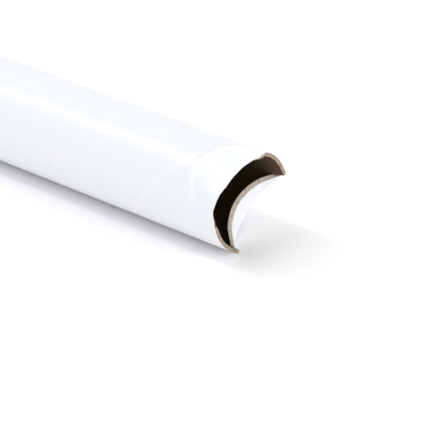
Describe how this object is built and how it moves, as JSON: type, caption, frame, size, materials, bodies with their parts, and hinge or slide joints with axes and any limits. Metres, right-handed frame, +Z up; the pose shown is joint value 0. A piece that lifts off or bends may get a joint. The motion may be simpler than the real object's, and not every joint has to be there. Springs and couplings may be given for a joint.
{
  "type": "drawing tube",
  "caption": "Round paperboard tube for rolled drawings, closed at each end by crimped flaps that snap inwards along curved creases.",
  "frame": {"origin": "middle of the flat side that the tube lies on", "axes": "+X along the tube towards the half-open mouth, +Z up"},
  "size_m": [0.3048, 0.0554, 0.0548],
  "materials": {
    "white_ply": "glossy white coated paper",
    "kraft_ply": "raw kraft paperboard",
    "kraft_liner": "raw brown kraft paper",
    "flap_board": "white-faced paperboard with raw kraft edges"
  },
  "bodies": {
    "tube": {"outer_ply": "white_ply", "middle_ply": "kraft_ply", "inner_ply": "kraft_liner"},
    "mouth_upper_stave_1": {"mouth_upper_stave_1": "flap_board"},
    "mouth_upper_stave_2": {"mouth_upper_stave_2": "flap_board"},
    "mouth_upper_stave_3": {"mouth_upper_stave_3": "flap_board"},
    "mouth_upper_stave_4": {"mouth_upper_stave_4": "flap_board"},
    "mouth_upper_stave_5": {"mouth_upper_stave_5": "flap_board"},
    "mouth_upper_stave_6": {"mouth_upper_stave_6": "flap_board"},
    "mouth_upper_stave_7": {"mouth_upper_stave_7": "flap_board"},
    "mouth_upper_stave_8": {"mouth_upper_stave_8": "flap_board"},
    "mouth_lower_stave_1": {"mouth_lower_stave_1": "flap_board"},
    "mouth_lower_stave_2": {"mouth_lower_stave_2": "flap_board"},
    "mouth_lower_stave_3": {"mouth_lower_stave_3": "flap_board"},
    "mouth_lower_stave_4": {"mouth_lower_stave_4": "flap_board"},
    "mouth_lower_stave_5": {"mouth_lower_stave_5": "flap_board"},
    "mouth_lower_stave_6": {"mouth_lower_stave_6": "flap_board"},
    "mouth_lower_stave_7": {"mouth_lower_stave_7": "flap_board"},
    "mouth_lower_stave_8": {"mouth_lower_stave_8": "flap_board"},
    "foot_upper_stave_1": {"foot_upper_stave_1": "flap_board"},
    "foot_upper_stave_2": {"foot_upper_stave_2": "flap_board"},
    "foot_upper_stave_3": {"foot_upper_stave_3": "flap_board"},
    "foot_upper_stave_4": {"foot_upper_stave_4": "flap_board"},
    "foot_upper_stave_5": {"foot_upper_stave_5": "flap_board"},
    "foot_upper_stave_6": {"foot_upper_stave_6": "flap_board"},
    "foot_upper_stave_7": {"foot_upper_stave_7": "flap_board"},
    "foot_upper_stave_8": {"foot_upper_stave_8": "flap_board"},
    "foot_lower_stave_1": {"foot_lower_stave_1": "flap_board"},
    "foot_lower_stave_2": {"foot_lower_stave_2": "flap_board"},
    "foot_lower_stave_3": {"foot_lower_stave_3": "flap_board"},
    "foot_lower_stave_4": {"foot_lower_stave_4": "flap_board"},
    "foot_lower_stave_5": {"foot_lower_stave_5": "flap_board"},
    "foot_lower_stave_6": {"foot_lower_stave_6": "flap_board"},
    "foot_lower_stave_7": {"foot_lower_stave_7": "flap_board"},
    "foot_lower_stave_8": {"foot_lower_stave_8": "flap_board"}
  },
  "joints": [
    {"name": "mouth_upper_fold_1", "type": "hinge", "parent": "tube", "child": "mouth_upper_stave_1", "pos_m": [0.14781, 0.00772, 0.05369], "axis": [0.7587, 0.6251, -0.1835], "range_deg": [0, 128.02]},
    {"name": "mouth_upper_fold_2", "type": "hinge", "parent": "tube", "child": "mouth_upper_stave_2", "pos_m": [0.13965, 0, 0.0548], "axis": [0.6716, 0.7409, 0], "range_deg": [0, 104.45]},
    {"name": "mouth_upper_fold_3", "type": "hinge", "parent": "tube", "child": "mouth_upper_stave_3", "pos_m": [0.13382, -0.00772, 0.05369], "axis": [0.4985, 0.8318, 0.2442], "range_deg": [0, 84.99]},
    {"name": "mouth_upper_fold_4", "type": "hinge", "parent": "tube", "child": "mouth_upper_stave_4", "pos_m": [0.13078, -0.01481, 0.05045], "axis": [0.1933, 0.8254, 0.5304], "range_deg": [0, 73.28]},
    {"name": "mouth_upper_fold_5", "type": "hinge", "parent": "tube", "child": "mouth_upper_stave_5", "pos_m": [0.13078, -0.02071, 0.04534], "axis": [-0.1933, 0.6425, 0.7415], "range_deg": [0, 73.29]},
    {"name": "mouth_upper_fold_6", "type": "hinge", "parent": "tube", "child": "mouth_upper_stave_6", "pos_m": [0.13382, -0.02492, 0.03878], "axis": [-0.4985, 0.3601, 0.7886], "range_deg": [0, 84.99]},
    {"name": "mouth_upper_fold_7", "type": "hinge", "parent": "tube", "child": "mouth_upper_stave_7", "pos_m": [0.13965, -0.02712, 0.0313], "axis": [-0.6716, 0.1054, 0.7334], "range_deg": [0, 104.45]},
    {"name": "mouth_upper_fold_8", "type": "hinge", "parent": "tube", "child": "mouth_upper_stave_8", "pos_m": [0.14781, -0.02712, 0.0235], "axis": [-0.7587, -0.0927, 0.6449], "range_deg": [0, 128.02]},
    {"name": "mouth_lower_fold_1", "type": "hinge", "parent": "tube", "child": "mouth_lower_stave_1", "pos_m": [0.14781, -0.00772, 0.00111], "axis": [0.7587, -0.6251, 0.1835], "range_deg": [-128.02, 0]},
    {"name": "mouth_lower_fold_2", "type": "hinge", "parent": "tube", "child": "mouth_lower_stave_2", "pos_m": [0.13965, 0, 0], "axis": [0.6716, -0.7409, 0], "range_deg": [-104.45, 0]},
    {"name": "mouth_lower_fold_3", "type": "hinge", "parent": "tube", "child": "mouth_lower_stave_3", "pos_m": [0.13382, 0.00772, 0.00111], "axis": [0.4985, -0.8318, -0.2442], "range_deg": [-84.99, 0]},
    {"name": "mouth_lower_fold_4", "type": "hinge", "parent": "tube", "child": "mouth_lower_stave_4", "pos_m": [0.13078, 0.01481, 0.00435], "axis": [0.1933, -0.8254, -0.5304], "range_deg": [-73.28, 0]},
    {"name": "mouth_lower_fold_5", "type": "hinge", "parent": "tube", "child": "mouth_lower_stave_5", "pos_m": [0.13078, 0.02071, 0.00946], "axis": [-0.1933, -0.6425, -0.7415], "range_deg": [-73.29, 0]},
    {"name": "mouth_lower_fold_6", "type": "hinge", "parent": "tube", "child": "mouth_lower_stave_6", "pos_m": [0.13382, 0.02492, 0.01602], "axis": [-0.4985, -0.3601, -0.7886], "range_deg": [-84.99, 0]},
    {"name": "mouth_lower_fold_7", "type": "hinge", "parent": "tube", "child": "mouth_lower_stave_7", "pos_m": [0.13965, 0.02712, 0.0235], "axis": [-0.6716, -0.1054, -0.7334], "range_deg": [-104.45, 0]},
    {"name": "mouth_lower_fold_8", "type": "hinge", "parent": "tube", "child": "mouth_lower_stave_8", "pos_m": [0.14781, 0.02712, 0.0313], "axis": [-0.7587, 0.0927, -0.6449], "range_deg": [-128.02, 0]},
    {"name": "foot_upper_fold_1", "type": "hinge", "parent": "tube", "child": "foot_upper_stave_1", "pos_m": [-0.14781, 0.00772, 0.05369], "axis": [0.7587, -0.6251, 0.1835], "range_deg": [-128.02, 0]},
    {"name": "foot_upper_fold_2", "type": "hinge", "parent": "tube", "child": "foot_upper_stave_2", "pos_m": [-0.13965, 0, 0.0548], "axis": [0.6716, -0.7409, 0], "range_deg": [-104.45, 0]},
    {"name": "foot_upper_fold_3", "type": "hinge", "parent": "tube", "child": "foot_upper_stave_3", "pos_m": [-0.13382, -0.00772, 0.05369], "axis": [0.4985, -0.8318, -0.2442], "range_deg": [-84.99, 0]},
    {"name": "foot_upper_fold_4", "type": "hinge", "parent": "tube", "child": "foot_upper_stave_4", "pos_m": [-0.13078, -0.01481, 0.05045], "axis": [0.1933, -0.8254, -0.5304], "range_deg": [-73.28, 0]},
    {"name": "foot_upper_fold_5", "type": "hinge", "parent": "tube", "child": "foot_upper_stave_5", "pos_m": [-0.13078, -0.02071, 0.04534], "axis": [-0.1933, -0.6425, -0.7415], "range_deg": [-73.29, 0]},
    {"name": "foot_upper_fold_6", "type": "hinge", "parent": "tube", "child": "foot_upper_stave_6", "pos_m": [-0.13382, -0.02492, 0.03878], "axis": [-0.4985, -0.3601, -0.7886], "range_deg": [-84.99, 0]},
    {"name": "foot_upper_fold_7", "type": "hinge", "parent": "tube", "child": "foot_upper_stave_7", "pos_m": [-0.13965, -0.02712, 0.0313], "axis": [-0.6716, -0.1054, -0.7334], "range_deg": [-104.45, 0]},
    {"name": "foot_upper_fold_8", "type": "hinge", "parent": "tube", "child": "foot_upper_stave_8", "pos_m": [-0.14781, -0.02712, 0.0235], "axis": [-0.7587, 0.0927, -0.6449], "range_deg": [-128.02, 0]},
    {"name": "foot_lower_fold_1", "type": "hinge", "parent": "tube", "child": "foot_lower_stave_1", "pos_m": [-0.14781, -0.00772, 0.00111], "axis": [0.7587, 0.6251, -0.1835], "range_deg": [-128.02, 0]},
    {"name": "foot_lower_fold_2", "type": "hinge", "parent": "tube", "child": "foot_lower_stave_2", "pos_m": [-0.13965, 0, 0], "axis": [0.6716, 0.7409, 0], "range_deg": [-104.45, 0]},
    {"name": "foot_lower_fold_3", "type": "hinge", "parent": "tube", "child": "foot_lower_stave_3", "pos_m": [-0.13382, 0.00772, 0.00111], "axis": [0.4985, 0.8318, 0.2442], "range_deg": [-84.99, 0]},
    {"name": "foot_lower_fold_4", "type": "hinge", "parent": "tube", "child": "foot_lower_stave_4", "pos_m": [-0.13078, 0.01481, 0.00435], "axis": [0.1933, 0.8254, 0.5304], "range_deg": [-73.28, 0]},
    {"name": "foot_lower_fold_5", "type": "hinge", "parent": "tube", "child": "foot_lower_stave_5", "pos_m": [-0.13078, 0.02071, 0.00946], "axis": [-0.1933, 0.6425, 0.7415], "range_deg": [-73.29, 0]},
    {"name": "foot_lower_fold_6", "type": "hinge", "parent": "tube", "child": "foot_lower_stave_6", "pos_m": [-0.13382, 0.02492, 0.01602], "axis": [-0.4985, 0.3601, 0.7886], "range_deg": [-84.99, 0]},
    {"name": "foot_lower_fold_7", "type": "hinge", "parent": "tube", "child": "foot_lower_stave_7", "pos_m": [-0.13965, 0.02712, 0.0235], "axis": [-0.6716, 0.1054, 0.7334], "range_deg": [-104.45, 0]},
    {"name": "foot_lower_fold_8", "type": "hinge", "parent": "tube", "child": "foot_lower_stave_8", "pos_m": [-0.14781, 0.02712, 0.0313], "axis": [-0.7587, -0.0927, 0.6449], "range_deg": [-128.02, 0]}
  ],
  "couplings": [
    {"joint": "mouth_upper_fold_1", "follows": "mouth_upper_fold_4", "ratio": 1.7467},
    {"joint": "mouth_upper_fold_2", "follows": "mouth_upper_fold_4", "ratio": 1.4251},
    {"joint": "mouth_upper_fold_3", "follows": "mouth_upper_fold_4", "ratio": 1.1596},
    {"joint": "mouth_upper_fold_5", "follows": "mouth_upper_fold_4", "ratio": 0.99999},
    {"joint": "mouth_upper_fold_6", "follows": "mouth_upper_fold_4", "ratio": 1.1596},
    {"joint": "mouth_upper_fold_7", "follows": "mouth_upper_fold_4", "ratio": 1.4251},
    {"joint": "mouth_upper_fold_8", "follows": "mouth_upper_fold_4", "ratio": 1.7467},
    {"joint": "mouth_lower_fold_1", "follows": "mouth_lower_fold_4", "ratio": 1.7467},
    {"joint": "mouth_lower_fold_2", "follows": "mouth_lower_fold_4", "ratio": 1.4251},
    {"joint": "mouth_lower_fold_3", "follows": "mouth_lower_fold_4", "ratio": 1.1596},
    {"joint": "mouth_lower_fold_5", "follows": "mouth_lower_fold_4", "ratio": 0.99999},
    {"joint": "mouth_lower_fold_6", "follows": "mouth_lower_fold_4", "ratio": 1.1596},
    {"joint": "mouth_lower_fold_7", "follows": "mouth_lower_fold_4", "ratio": 1.4251},
    {"joint": "mouth_lower_fold_8", "follows": "mouth_lower_fold_4", "ratio": 1.7467},
    {"joint": "foot_upper_fold_1", "follows": "foot_upper_fold_4", "ratio": 1.7467},
    {"joint": "foot_upper_fold_2", "follows": "foot_upper_fold_4", "ratio": 1.4251},
    {"joint": "foot_upper_fold_3", "follows": "foot_upper_fold_4", "ratio": 1.1596},
    {"joint": "foot_upper_fold_5", "follows": "foot_upper_fold_4", "ratio": 0.99999},
    {"joint": "foot_upper_fold_6", "follows": "foot_upper_fold_4", "ratio": 1.1596},
    {"joint": "foot_upper_fold_7", "follows": "foot_upper_fold_4", "ratio": 1.4251},
    {"joint": "foot_upper_fold_8", "follows": "foot_upper_fold_4", "ratio": 1.7467},
    {"joint": "foot_lower_fold_1", "follows": "foot_lower_fold_4", "ratio": 1.7467},
    {"joint": "foot_lower_fold_2", "follows": "foot_lower_fold_4", "ratio": 1.4251},
    {"joint": "foot_lower_fold_3", "follows": "foot_lower_fold_4", "ratio": 1.1596},
    {"joint": "foot_lower_fold_5", "follows": "foot_lower_fold_4", "ratio": 0.99999},
    {"joint": "foot_lower_fold_6", "follows": "foot_lower_fold_4", "ratio": 1.1596},
    {"joint": "foot_lower_fold_7", "follows": "foot_lower_fold_4", "ratio": 1.4251},
    {"joint": "foot_lower_fold_8", "follows": "foot_lower_fold_4", "ratio": 1.7467}
  ]
}
